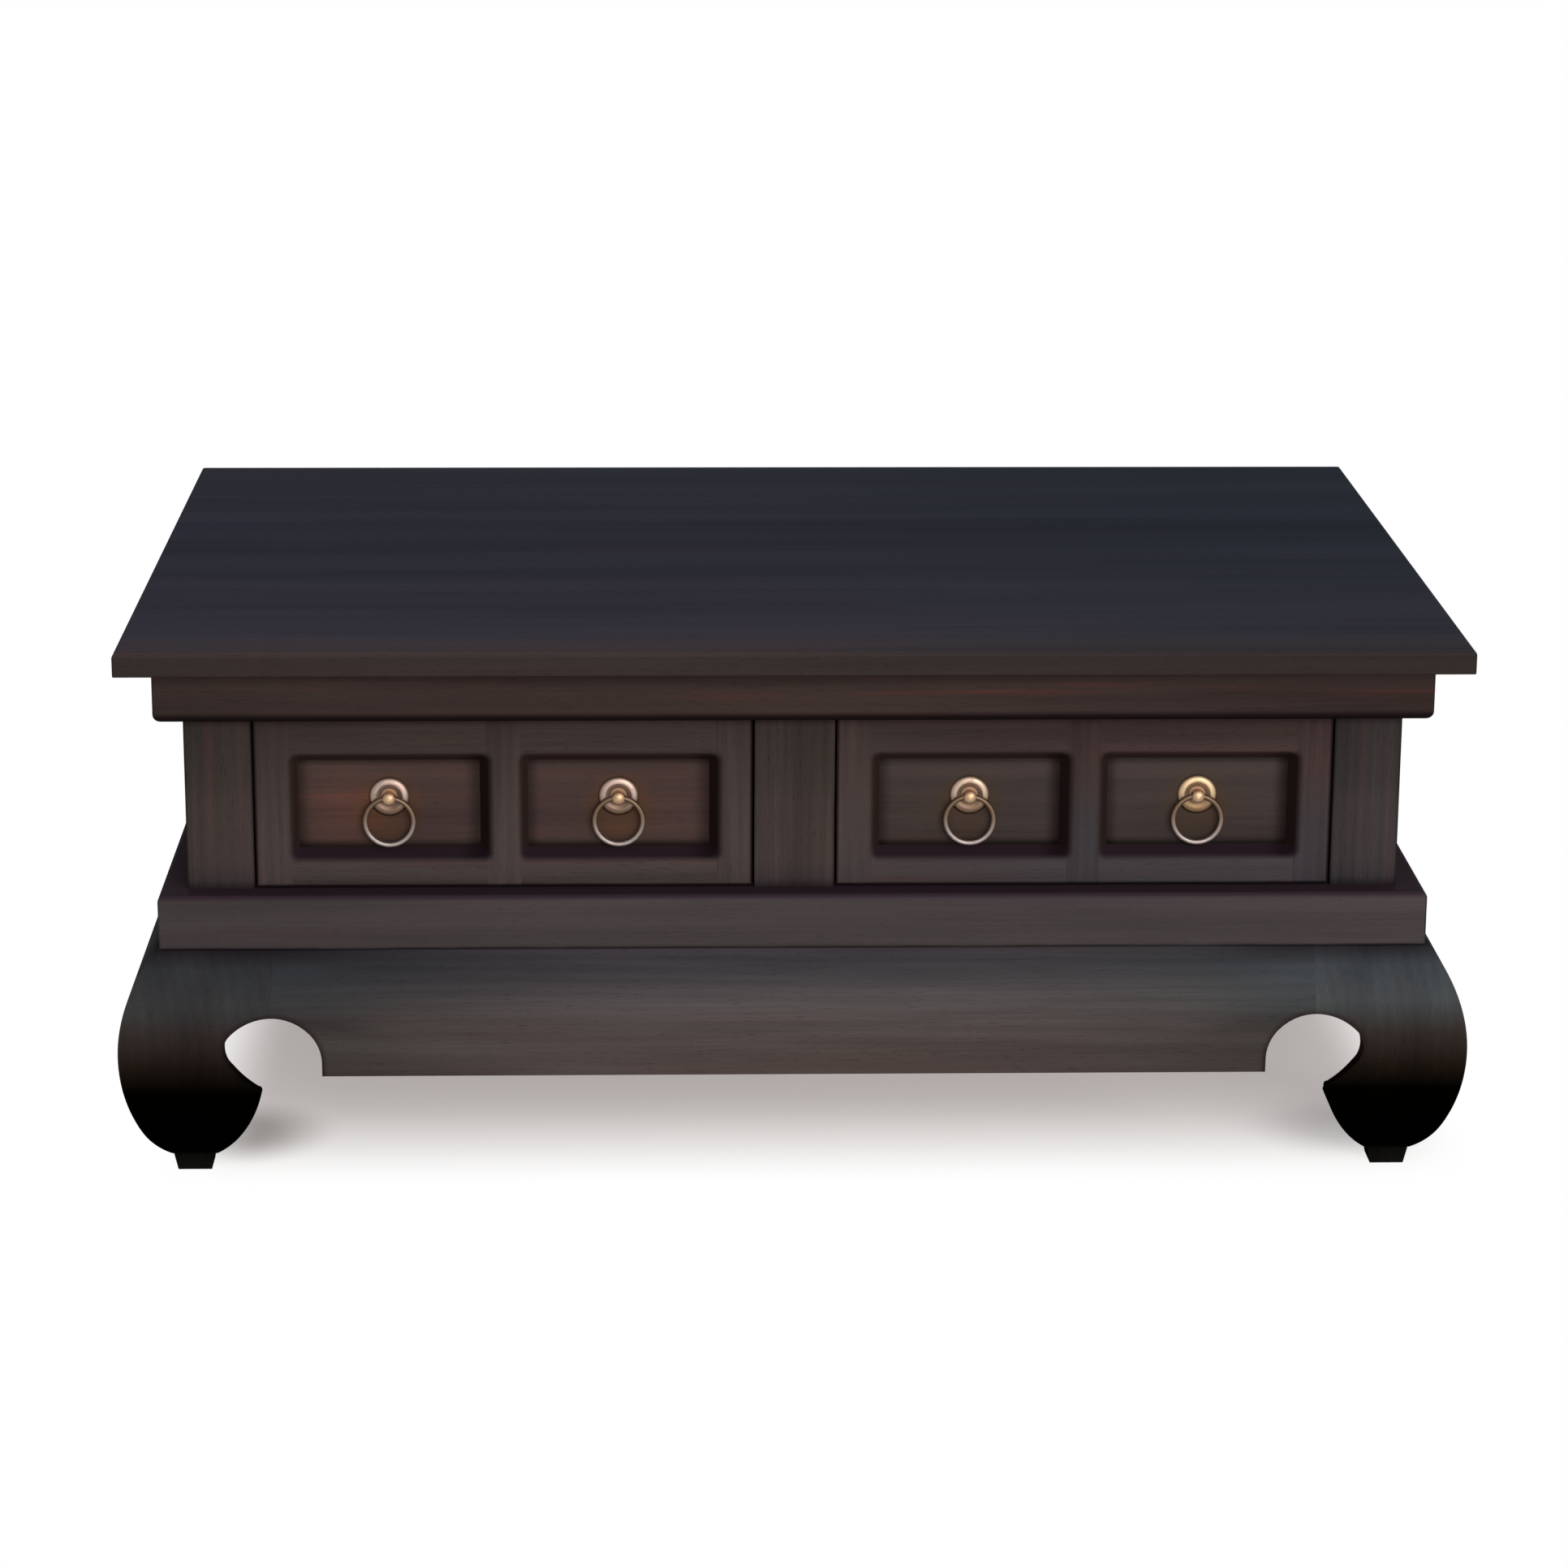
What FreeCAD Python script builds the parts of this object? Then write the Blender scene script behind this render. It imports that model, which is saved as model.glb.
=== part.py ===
import FreeCAD, Part
import os
from math import copysign, cos, radians, sin, sqrt, tan

# A kang table with two drawers over a stand of bowed hoof legs.
# Millimetres. X runs to the right, Y to the back, Z up. The origin is on the floor, under the middle.
# An inset is a distance in from the edge of the top, and a level is a height over the floor.

V = FreeCAD.Vector
origin = V(0, 0, 0)
x_axis = V(1, 0, 0)
y_axis = V(0, 1, 0)
z_axis = V(0, 0, 1)

# Whole table
top_length = 1100.0
top_depth = 750.0
table_height = 452.5

# Top and cornice
top_thickness = 20.0
top_edge_radius = 4.0
top_lower_radius = 1.5
cornice_inset = 28.0
cornice_height = 45.5
cornice_edge_radius = 8.0

# Drawer storey
carcass_inset = 50.0
post_width = 55.0
muntin_width = 66.0
panel_thickness = 10.0
panel_setback = 10.0
partition_thickness = 18.0
guide_height = 20.0
stop_length = 15.0
stop_margin = 5.0

# Waist
waist_inset = 27.0
waist_height = 45.0
waist_edge_radius = 4.5
dust_board_thickness = 8.0

# Battens and their screws
batten_width = 50.0
batten_height = 25.0
screw_radius = 2.5
screw_head_radius = 4.5
screw_head_height = 3.0
screw_bite = 12.0
screw_place_shares = (-0.75, -0.25, 0.25, 0.75)

# Joints between the rails, posts and panels
joint_fit = 0.1
tongue_depth = 8.0
post_tenon_width = 24.0
post_tenon_length = 18.0
rail_tenon_length = 20.0
rail_tenon_height = 12.0
rail_tenon_shoulder = 3.0
overrun = 2.0

# Stand: the bowed face of the legs and aprons, its bulge and calf at shares of the stand's height
face_top_inset = 23.5
bulge_reach = 6.0
bulge_share = 0.575
calf_inset = 10.0
calf_share = 0.217
heel_inset = 32.0
pad_height = 15.5

# Stand: the inner outline of a leg, with its levels as shares of the stand's height
seam_inset = 120.0
crown_share = 0.74
leg_arch_width = 40.0
leg_arch_drop_share = 0.143
throat_angle = 50.0
throat_bow = 1.0
nose_setback = 9.3
nose_share = 0.411
nose_back = 3.0
nose_rise = 4.0
nose_bow = 1.2
sole_inset = 69.5
hoof_bow = 6.5

# Stand: the hollow behind the point of the hoof, and the inner corner that is cut off
hollow_fall_angle = 24.0
hollow_side_angle = 12.0
corner_margin = 1.3

# Stand: aprons, pads and blocks
apron_back_inset = 42.0
apron_arch_width = 41.0
apron_arch_drop = 37.0
apron_lip = 12.0
apron_tongue_width = 7.0
apron_tongue_height = 7.0
apron_tongue_setback = 2.0
apron_tenon_thickness = 14.0
apron_tenon_setback = 4.0
apron_tenon_length = 28.0
apron_tenon_shoulder = 9.0
leg_tenon_width = 36.0
leg_tenon_length = 20.0
pad_top_width = 34.0
pad_foot_width = 28.0
pad_inset = 50.0
pad_tenon_width = 12.0
pad_tenon_length = 16.0
glue_block_width = 30.0
glue_block_length = 80.0
long_glue_blocks = 3
short_glue_blocks = 2

# Drawers
drawer_gap = 1.75
drawer_float = 0.3
stop_clearance = 0.3
front_thickness = 20.0
front_lap = 6.0
outer_stile = 28.5
middle_stile = 25.5
bottom_rail = 25.0
top_rail = 30.0
window_height = 88.0
window_bevel = 7.0
window_corner_radius = 1.0
drawer_panel_thickness = 8.0
drawer_panel_lap = 6.0
side_thickness = 12.0
side_drop = 1.25
runner_lip = 4.0
bottom_thickness = 8.0
bottom_rise = 10.0
bottom_groove = 6.0
front_tails = 4
back_tails = 3
tail_share = 0.6
dovetail_slope = 7.0

# Ring pulls, chosen to suit the height of the window that they hang in
pull_rise_share = 0.069
rosette_radius_share = 0.1875
ring_radius_share = 0.226
rosette_rim = 1.0
rosette_crest_share = 0.667
rosette_crest = 3.5
rosette_dish_share = 0.424
rosette_dish = 1.6
ring_wire = 4.4
ring_gap = 0.7
ring_clearance = 0.3
boss_radius = 5.0
boss_wall = 2.9
boss_dome = 1.8
shank_radius = 3.0
shank_end = 1.0
nut_width = 10.0
nut_height = 4.0

# Levels and places worked out from the sizes above
top_level = table_height - top_thickness
cornice_level = top_level - cornice_height
carcass_level = cornice_level - top_rail - window_height - bottom_rail - 2 * drawer_gap
stand_height = carcass_level - waist_height
bulge_level = bulge_share * stand_height
calf_level = calf_share * stand_height
crown_level = crown_share * stand_height
nose_level = nose_share * stand_height
leg_arch_drop = leg_arch_drop_share * stand_height
apron_level = crown_level - apron_arch_drop - apron_lip
carcass_x = top_length / 2 - carcass_inset
carcass_y = top_depth / 2 - carcass_inset
post_x = carcass_x - post_width
post_y = carcass_y - post_width
muntin_x = muntin_width / 2
runner_bearing = drawer_gap + side_thickness + runner_lip
rail_inner_inset = carcass_inset + post_width + runner_bearing
rail_inner_x = top_length / 2 - rail_inner_inset
rail_inner_y = top_depth / 2 - rail_inner_inset
centre_x = muntin_x + runner_bearing
guide_level = carcass_level + guide_height

# The sides of the table, each a quarter turn on from the last: the length of its edge and the way across
sides = {
    "front": (top_length, top_depth),
    "right": (top_depth, top_length),
    "back": (top_length, top_depth),
    "left": (top_depth, top_length),
}
corners = {
    "front_left": (-1, -1),
    "front_right": (1, -1),
    "back_left": (-1, 1),
    "back_right": (1, 1),
}


def block(x, y, z, grow=0):
    """A box between pairs of limits, made larger all round by grow."""
    size = [limits[1] - limits[0] + 2 * grow for limits in (x, y, z)]
    return Part.makeBox(*size, V(x[0] - grow, y[0] - grow, z[0] - grow))


def span(side, near, far):
    """Limits from near to far, on the side of the middle that is -1 or 1."""
    return (near, far) if side > 0 else (-far, -near)


def around(middle, width):
    """Limits of a width centred on middle."""
    return (middle - width / 2, middle + width / 2)


def line(start, end):
    return Part.LineSegment(start, end).toShape()


def bowed(start, end, bow):
    """An arc that bows out by bow to the right of the way from start to end."""
    along = end - start
    outward = V(along.y, -along.x, 0).normalize()
    return Part.Arc(start, (start + end) * 0.5 + outward * bow, end).toShape()


def quarter_oval(centre, side, top, past=0):
    """A quarter of an oval as two arcs, from centre + side to centre + top.

    The arcs meet at 45 degrees. The first starts an angle past the side, below it."""
    out = V(side).normalize()
    up = V(top).normalize()
    lean = tan(radians(22.5))
    side_radius = (top.Length - side.Length * lean) / (1 - lean)
    top_radius = (side.Length - top.Length * lean) / (1 - lean)
    side_centre = centre + side - out * side_radius
    top_centre = centre + top - up * top_radius
    near_side = (side_centre, side_radius, -past, 45)
    near_top = (top_centre, top_radius, 45, 90)
    arcs = []
    for middle, radius, start, end in (near_side, near_top):
        turns = [radians(angle) for angle in (start, (start + end) / 2, end)]
        points = [middle + (out * cos(turn) + up * sin(turn)) * radius for turn in turns]
        arcs.append(Part.Arc(*points).toShape())
    return arcs


def face(edges):
    return Part.Face(Part.Wire(edges))


def upright(drawing, depth):
    """A drawing in the XY plane, stood up so that its Y is the height, and drawn out along Y."""
    standing = drawing.rotated(origin, x_axis, 90).translated(V(0, depth[0], 0))
    return standing.extrude(V(0, depth[1] - depth[0], 0))


def joined(first, *others):
    return first.fuse(list(others)).removeSplitter()


def at_side(shape, name):
    """Place a shape drawn along the front, with Y as its inset, on one side of the table."""
    _, across = sides[name]
    turn = 90 * list(sides).index(name)
    return shape.translated(V(0, -across / 2, 0)).rotated(origin, z_axis, turn)


def at_corner(shape, sx, sy):
    """Place a shape drawn by its two insets at one corner of the table."""
    placed = shape.translated(V(-top_length / 2, -top_depth / 2, 0))
    if sx > 0:
        placed = placed.mirror(origin, x_axis)
    if sy > 0:
        placed = placed.mirror(origin, y_axis)
    return placed


def save(name, *shapes):
    solids = [solid for shape in shapes for solid in shape.Solids]
    whole = solids[0] if len(solids) == 1 else Part.makeCompound(solids)
    whole.exportStep(f"parts/{name}.step")


# Top


def screw(x, y, grow=0):
    """A countersunk screw, up through a batten into the top."""
    low = top_level - batten_height
    neck = low + screw_head_height
    tip = top_level + screw_bite + grow
    half = [
        V(0, 0, low - grow),
        V(screw_head_radius + grow, 0, low - grow),
        V(screw_radius + grow, 0, neck),
        V(screw_radius + grow, 0, tip),
        V(0, 0, tip),
    ]
    profile = Part.Face(Part.makePolygon(half + half[:1]))
    return profile.revolve(origin, z_axis, 360).translated(V(x, y, 0))


def batten_places():
    middle = (centre_x + rail_inner_x) / 2
    return [-middle, middle]


def top_screws(grow=0):
    return [screw(x, share * rail_inner_y, grow) for x in batten_places() for share in screw_place_shares]


def top_panel():
    """A flat slab with its long edges rounded over, more above than below, and four crisp corners."""
    slab = block(around(0, top_length), around(0, top_depth), (top_level, table_height))
    for level, radius in ((table_height, top_edge_radius), (top_level, top_lower_radius)):
        level_edges = [edge for edge in slab.Edges if abs(edge.CenterOfMass.z - level) < overrun]
        slab = slab.makeFillet(radius, level_edges)
    return slab.cut(top_screws(joint_fit))


def batten_tenon(x, width, grow=0):
    reach = 2 * (rail_inner_y + rail_tenon_length)
    low_and_high = around(top_level - batten_height / 2, rail_tenon_height)
    return block(around(x, width - 2 * rail_tenon_shoulder), around(0, reach), low_and_high, grow)


def top_battens():
    battens = []
    run = around(0, 2 * rail_inner_y)
    for x in batten_places():
        bar = block(around(x, batten_width), run, (top_level - batten_height, top_level))
        battens.append(joined(bar, batten_tenon(x, batten_width)).cut(top_screws(joint_fit)))
    return battens


def centre_batten():
    width = 2 * centre_x
    bar = block(around(0, width), around(0, 2 * rail_inner_y), (cornice_level, top_level))
    return joined(bar, batten_tenon(0, width)).cut(centre_partition(joint_fit))


# Mitred frames of rails


def mitred_rail(name, outer, low, high, round_level, radius):
    """One rail of a mitred frame, with its outer edge at round_level rounded over."""
    run = sides[name][0]
    half_outer = run / 2 - outer
    half_inner = run / 2 - rail_inner_inset
    corner_points = [
        V(-half_outer, outer, low),
        V(half_outer, outer, low),
        V(half_inner, rail_inner_inset, low),
        V(-half_inner, rail_inner_inset, low),
    ]
    plan = Part.Face(Part.makePolygon(corner_points + corner_points[:1]))
    rail = plan.extrude(V(0, 0, high - low))
    middle = V(0, outer, round_level)
    edge = min(rail.Edges, key=lambda e: e.CenterOfMass.distanceToPoint(middle))
    return at_side(rail.makeFillet(radius, [edge]), name)


def cornice_rail(name):
    rail = mitred_rail(name, cornice_inset, cornice_level, top_level, cornice_level, cornice_edge_radius)
    housings = [post_tenon(sx, sy, joint_fit) for sx, sy in corners.values()]
    housings += [muntin_tenon(sy, joint_fit) for sy in (-1, 1)]
    housings += [side_panel(sx, joint_fit) for sx in (-1, 1)]
    housings += [back_panel(sx, joint_fit) for sx in (-1, 1)]
    housings += [batten_tenon(x, batten_width, joint_fit) for x in batten_places()]
    housings += [batten_tenon(0, 2 * centre_x, joint_fit), centre_partition(joint_fit)]
    return rail.cut(housings)


def waist_rail(name):
    rail = mitred_rail(name, waist_inset, stand_height, carcass_level, carcass_level, waist_edge_radius)
    housings = [post_tenon(sx, sy, joint_fit) for sx, sy in corners.values()]
    housings += [muntin_tenon(sy, joint_fit) for sy in (-1, 1)]
    housings += [side_panel(sx, joint_fit) for sx in (-1, 1)]
    housings += [back_panel(sx, joint_fit) for sx in (-1, 1)]
    housings += [dust_board(sx, joint_fit) for sx in (-1, 1)]
    housings += [at_corner(leg_tenon(joint_fit), sx, sy) for sx, sy in corners.values()]
    housings += [at_side(apron_tongue(each, joint_fit), each) for each in sides]
    housings.append(cross_rail_tenon(joint_fit))
    return rail.cut(housings)


def cross_rail_tenon(grow=0):
    width = 2 * (centre_x - tongue_depth - rail_tenon_shoulder)
    reach = 2 * (rail_inner_y + rail_tenon_length)
    middle = stand_height + waist_height / 2
    return block(around(0, width), around(0, reach), around(middle, rail_tenon_height), grow)


def waist_cross_rail():
    bar = block(around(0, 2 * centre_x), around(0, 2 * rail_inner_y), (stand_height, carcass_level))
    return joined(bar, cross_rail_tenon()).cut([dust_board(side, joint_fit) for side in (-1, 1)])


def dust_board(side, grow=0):
    x = span(side, centre_x - tongue_depth, rail_inner_x + tongue_depth)
    y = around(0, 2 * (rail_inner_y + tongue_depth))
    return block(x, y, around(stand_height + waist_height / 2, dust_board_thickness), grow)


# Drawer storey


def post_tenon(sx, sy, grow=0):
    x = around(sx * (carcass_x + post_x) / 2, post_tenon_width)
    y = around(sy * (carcass_y + post_y) / 2, post_tenon_width)
    return block(x, y, (carcass_level - post_tenon_length, cornice_level + post_tenon_length), grow)


def muntin_tenon(sy, grow=0):
    x = around(0, muntin_width - post_width + post_tenon_width)
    y = around(sy * (carcass_y + post_y) / 2, post_tenon_width)
    return block(x, y, (carcass_level - post_tenon_length, cornice_level + post_tenon_length), grow)


def post(sx, sy):
    bar = block(span(sx, post_x, carcass_x), span(sy, post_y, carcass_y), (carcass_level, cornice_level))
    grooves = [side_panel(sx, joint_fit), back_panel(sx, joint_fit)]
    return joined(bar, post_tenon(sx, sy)).cut(grooves)


def muntin(sy):
    bar = block(around(0, muntin_width), span(sy, post_y, carcass_y), (carcass_level, cornice_level))
    grooves = [centre_partition(joint_fit), back_panel(-1, joint_fit), back_panel(1, joint_fit)]
    return joined(bar, muntin_tenon(sy)).cut(grooves)


def side_panel(side, grow=0):
    face_x = carcass_x - panel_setback
    y = around(0, 2 * (post_y + tongue_depth))
    z = (carcass_level - tongue_depth, cornice_level + tongue_depth)
    return block(span(side, face_x - panel_thickness, face_x), y, z, grow)


def back_panel(side, grow=0):
    face_y = carcass_y - panel_setback
    x = span(side, muntin_x - tongue_depth, post_x + tongue_depth)
    z = (carcass_level - tongue_depth, cornice_level + tongue_depth)
    return block(x, (face_y - panel_thickness, face_y), z, grow)


def centre_partition(grow=0):
    y = around(0, 2 * (post_y + tongue_depth))
    z = (guide_level - tongue_depth, cornice_level + tongue_depth)
    return block(around(0, partition_thickness), y, z, grow)


def centre_guide():
    bar = block(around(0, muntin_width), around(0, 2 * post_y), (carcass_level, guide_level))
    return bar.cut(centre_partition(joint_fit))


def side_guide(side):
    x = span(side, post_x, carcass_x - panel_setback - panel_thickness)
    return block(x, around(0, 2 * post_y), (carcass_level, guide_level))


def drawer_stops():
    """A block behind each drawer side, on the back waist rail."""
    stops = []
    low_y = drawer_end + stop_clearance
    for side in (-1, 1):
        for near in (muntin_x + drawer_gap, post_x - drawer_gap - side_thickness):
            x = span(side, near, near + side_thickness)
            stops.append(block(x, (low_y, low_y + stop_length), (carcass_level, guide_level)))
    return stops


# Stand


def arc_centre(start, inward, end):
    """The centre of the arc from start to end that sets out square to inward."""
    chord = end - start
    return start + inward * (chord.dot(chord) / (2 * chord.dot(inward)))


def face_inset(level):
    """How far in the bowed face of a leg or apron lies at a level.

    It has three arcs: two that are upright at the bulge, and a tighter one from the calf to the heel."""
    bulge = V(-bulge_reach, bulge_level, 0)
    calf = V(calf_inset, calf_level, 0)
    if level > bulge_level:
        start, centre = bulge, arc_centre(bulge, x_axis, V(face_top_inset, stand_height, 0))
    else:
        start, centre = bulge, arc_centre(bulge, x_axis, calf)
    if level < calf_level:
        inward = (centre - calf).normalize()
        start, centre = calf, arc_centre(calf, inward, V(heel_inset, pad_height, 0))
    radius = start.distanceToPoint(centre)
    return centre.x - sqrt(radius**2 - (level - centre.y) ** 2)


def bowed_face(low):
    """The edges of the bowed face from the top of the stand down to low, inset as X, level as Y."""
    levels = [level for level in (stand_height, bulge_level, calf_level) if level > low] + [low]
    edges = []
    for start, end in zip(levels, levels[1:]):
        points = [V(face_inset(level), level, 0) for level in (start, (start + end) / 2, end)]
        edges.append(Part.Arc(*points).toShape())
    return edges


def inner_outline():
    """The inner edge of a leg, from the point of its hoof up round the throat to the crown of the arch."""
    nose = V(seam_inset - nose_setback, nose_level, 0)
    nose_top = nose + V(-nose_back, nose_rise, 0)
    arch_centre = V(seam_inset, crown_level - leg_arch_drop, 0)
    arch_side = V(-leg_arch_width, 0, 0)
    arch_top = V(0, leg_arch_drop, 0)
    arch = quarter_oval(arch_centre, arch_side, arch_top, throat_angle)
    throat = arch[0].Vertexes[0].Point
    return [bowed(nose, nose_top, nose_bow), bowed(nose_top, throat, -throat_bow)] + arch


def leg_outline():
    """A leg seen square to one of its faces: bowed outside, with a pointed hoof turned inward."""
    heel = V(face_inset(pad_height), pad_height, 0)
    sole = V(sole_inset, pad_height, 0)
    nose = V(seam_inset - nose_setback, nose_level, 0)
    crown = V(seam_inset, crown_level, 0)
    inner_top = V(seam_inset, stand_height, 0)
    outer_top = V(face_inset(stand_height), stand_height, 0)
    edges = bowed_face(pad_height)
    edges.append(line(heel, sole))
    edges.append(bowed(sole, nose, hoof_bow))
    edges += inner_outline()
    edges.append(line(crown, inner_top))
    edges.append(line(inner_top, outer_top))
    return face(edges)


def throat_hollow():
    """The space over a hoof, turned down and outward on its way back, so that only a lip stands up."""
    nose = V(seam_inset - nose_setback, nose_level, 0)
    crown = V(seam_inset, crown_level, 0)
    past_nose = V(seam_inset + leg_arch_width, nose_level, 0)
    past_crown = V(seam_inset + leg_arch_width, crown_level, 0)
    edges = inner_outline()
    edges += [line(crown, past_crown), line(past_crown, past_nose), line(past_nose, nose)]
    pivot = V(seam_inset - leg_arch_width, face_inset(nose_level), nose_level)
    straight = upright(face(edges), (pivot.y, pivot.y + 2 * seam_inset))
    return straight.rotated(pivot, x_axis, -hollow_fall_angle).rotated(pivot, z_axis, hollow_side_angle)


def inner_corner():
    """What is cut off the inner corner of a leg, clear of its sole and up to the crown of the arches."""
    far = seam_inset + overrun
    near = 2 * (sole_inset + corner_margin) - far
    low = pad_height - overrun
    points = [V(near, far, low), V(far, near, low), V(far, far, low)]
    return Part.Face(Part.makePolygon(points + points[:1])).extrude(V(0, 0, crown_level - low))


def leg_tenon(grow=0):
    middle = carcass_inset + post_width / 2
    across = around(middle, leg_tenon_width)
    return block(across, across, (stand_height, stand_height + leg_tenon_length), grow)


def apron_tenon(grow=0):
    """The tenon of the front apron in the left leg, drawn by its insets."""
    x = (seam_inset - apron_tenon_length, seam_inset)
    high_y = apron_back_inset - apron_tenon_setback
    z = (crown_level + apron_tenon_shoulder, stand_height - apron_tenon_shoulder)
    return block(x, (high_y - apron_tenon_thickness, high_y), z, grow)


def swapped(shape):
    """The same shape with its two insets exchanged."""
    return shape.mirror(origin, V(1, -1, 0))


def leg():
    """The same outline cut on two faces of a square blank, so that the hoof follows the diagonal."""
    depth = (-bulge_reach - overrun, seam_inset + overrun)
    one_way = upright(leg_outline(), depth).cut(throat_hollow())
    shaped = one_way.common(swapped(one_way)).cut(inner_corner())
    mortise = apron_tenon(joint_fit)
    return joined(shaped, leg_tenon()).cut([mortise, swapped(mortise), pad_tenon(joint_fit)])


def pad_tenon(grow=0):
    across = around(pad_inset, pad_tenon_width)
    return block(across, across, (pad_height, pad_height + pad_tenon_length), grow)


def foot_pad():
    """A small block that tapers to the floor, with a square tenon up into the hoof."""
    squares = []
    for level, width in ((0, pad_foot_width), (pad_height, pad_top_width)):
        low, high = around(pad_inset, width)
        points = [V(low, low, level), V(high, low, level), V(high, high, level), V(low, high, level)]
        squares.append(Part.makePolygon(points + points[:1]))
    return joined(Part.makeLoft(squares, True, True), pad_tenon())


def apron_outline(half):
    """An apron from the front: straight below, with a quarter of an oval arch up to each leg."""
    spring = crown_level - apron_arch_drop
    inner = half - apron_arch_width
    rise = V(0, apron_arch_drop, 0)
    edges = [line(V(-half, stand_height, 0), V(half, stand_height, 0))]
    edges.append(line(V(half, stand_height, 0), V(half, crown_level, 0)))
    edges += quarter_oval(V(half, spring, 0), V(-apron_arch_width, 0, 0), rise)[::-1]
    edges.append(line(V(inner, spring, 0), V(inner, apron_level, 0)))
    edges.append(line(V(inner, apron_level, 0), V(-inner, apron_level, 0)))
    edges.append(line(V(-inner, apron_level, 0), V(-inner, spring, 0)))
    edges += quarter_oval(V(-half, spring, 0), V(apron_arch_width, 0, 0), rise)
    edges.append(line(V(-half, crown_level, 0), V(-half, stand_height, 0)))
    return face(edges)


def apron_section():
    """The section of an apron, inset as X and level as Y: bowed in front and flat behind."""
    low_front = V(face_inset(apron_level), apron_level, 0)
    low_back = V(apron_back_inset, apron_level, 0)
    high_back = V(apron_back_inset, stand_height, 0)
    high_front = V(face_inset(stand_height), stand_height, 0)
    edges = bowed_face(apron_level)
    edges += [line(low_front, low_back), line(low_back, high_back), line(high_back, high_front)]
    return face(edges)


def apron_tongue(name, grow=0):
    half = sides[name][0] / 2 - seam_inset
    high_y = apron_back_inset - apron_tongue_setback
    z = (stand_height, stand_height + apron_tongue_height)
    return block((-half, half), (high_y - apron_tongue_width, high_y), z, grow)


def apron(name):
    half = sides[name][0] / 2 - seam_inset
    depth = (-bulge_reach - overrun, apron_back_inset + overrun)
    board = upright(apron_section(), (-half, half)).rotated(origin, z_axis, 90).mirror(origin, x_axis)
    board = board.common(upright(apron_outline(half), depth))
    tenon = apron_tenon().translated(V(-half - seam_inset, 0, 0))
    board = joined(board, apron_tongue(name), tenon, tenon.mirror(origin, x_axis))
    return at_side(board, name)


def glue_blocks():
    """Triangular blocks in the angle between each apron and the waist."""
    blocks = []
    for name, (run, _) in sides.items():
        count = long_glue_blocks if name in ("front", "back") else short_glue_blocks
        room = run - 2 * seam_inset
        for index in range(count):
            middle = room * ((index + 0.5) / count - 0.5)
            start = middle - glue_block_length / 2
            points = [
                V(start, apron_back_inset, stand_height),
                V(start, apron_back_inset + glue_block_width, stand_height),
                V(start, apron_back_inset, stand_height - glue_block_width),
            ]
            wedge = Part.Face(Part.makePolygon(points + points[:1])).extrude(V(glue_block_length, 0, 0))
            blocks.append(at_side(wedge, name))
    return blocks


# Drawers, drawn about their own middle line and then moved to their openings

drawer_middle = (muntin_x + post_x) / 2
front_half = (post_x - muntin_x) / 2 - drawer_gap
front_face = -carcass_y
front_back = front_face + front_thickness
front_low = carcass_level + drawer_gap
front_high = cornice_level - drawer_gap
side_low = carcass_level + drawer_float
side_high = front_high - side_drop
side_inner = front_half - side_thickness
drawer_end = carcass_y - panel_setback - panel_thickness - stop_margin - stop_length - stop_clearance
back_face = drawer_end - side_thickness
bottom_low = side_low + bottom_rise
bottom_high = bottom_low + bottom_thickness

# The windows in a drawer front
window_width = front_half - outer_stile - middle_stile / 2
window_middle = (window_width + middle_stile) / 2
window_level = front_low + bottom_rail + window_height / 2
panel_face = front_face + window_bevel
panel_back = panel_face + drawer_panel_thickness

# The pulls, with heights measured out from the face of the drawer panel
pull_level = window_level + pull_rise_share * window_height
rosette_radius = rosette_radius_share * window_height
rosette_crest_radius = rosette_crest_share * rosette_radius
rosette_dish_radius = rosette_dish_share * rosette_radius
ring_radius = ring_radius_share * window_height
ring_height = rosette_crest + ring_wire / 2 + ring_gap
ring_sag = ring_radius - sqrt(ring_radius**2 - boss_radius**2)
ring_hole_radius = ring_wire / 2 + ring_sag + ring_clearance
boss_height = ring_height + ring_hole_radius + boss_wall


def tails(root, tip, low, high, count, side, grow=0):
    """The dovetails on the end of a drawer side, from their shoulder at root out to tip."""
    pitch = (high - low) / count
    flare = abs(tip - root) / dovetail_slope
    half = pitch * tail_share / 2 + grow
    reach = tip + copysign(grow, tip - root)
    x = span(side, side_inner - grow, front_half + grow)
    shapes = []
    for index in range(count):
        middle = low + pitch * (index + 0.5)
        points = [
            V(x[0], root, middle - half),
            V(x[0], reach, middle - half - flare),
            V(x[0], reach, middle + half + flare),
            V(x[0], root, middle + half),
        ]
        outline = Part.Face(Part.makePolygon(points + points[:1]))
        shapes.append(outline.extrude(V(x[1] - x[0], 0, 0)))
    return shapes


def front_dovetails(side, grow=0):
    return tails(front_back, front_face + front_lap, front_low, side_high, front_tails, side, grow)


def back_dovetails(side, grow=0):
    return tails(back_face, drawer_end, bottom_high, side_high, back_tails, side, grow)


def drawer_bottom(grow=0):
    x = around(0, 2 * (side_inner + bottom_groove))
    return block(x, (front_back - bottom_groove, drawer_end), (bottom_low, bottom_high), grow)


def drawer_panel(middle, grow=0):
    width = window_width - 2 * window_bevel + 2 * drawer_panel_lap
    height = window_height - 2 * window_bevel + 2 * drawer_panel_lap
    return block(around(middle, width), (panel_face, panel_back), around(window_level, height), grow)


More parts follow.
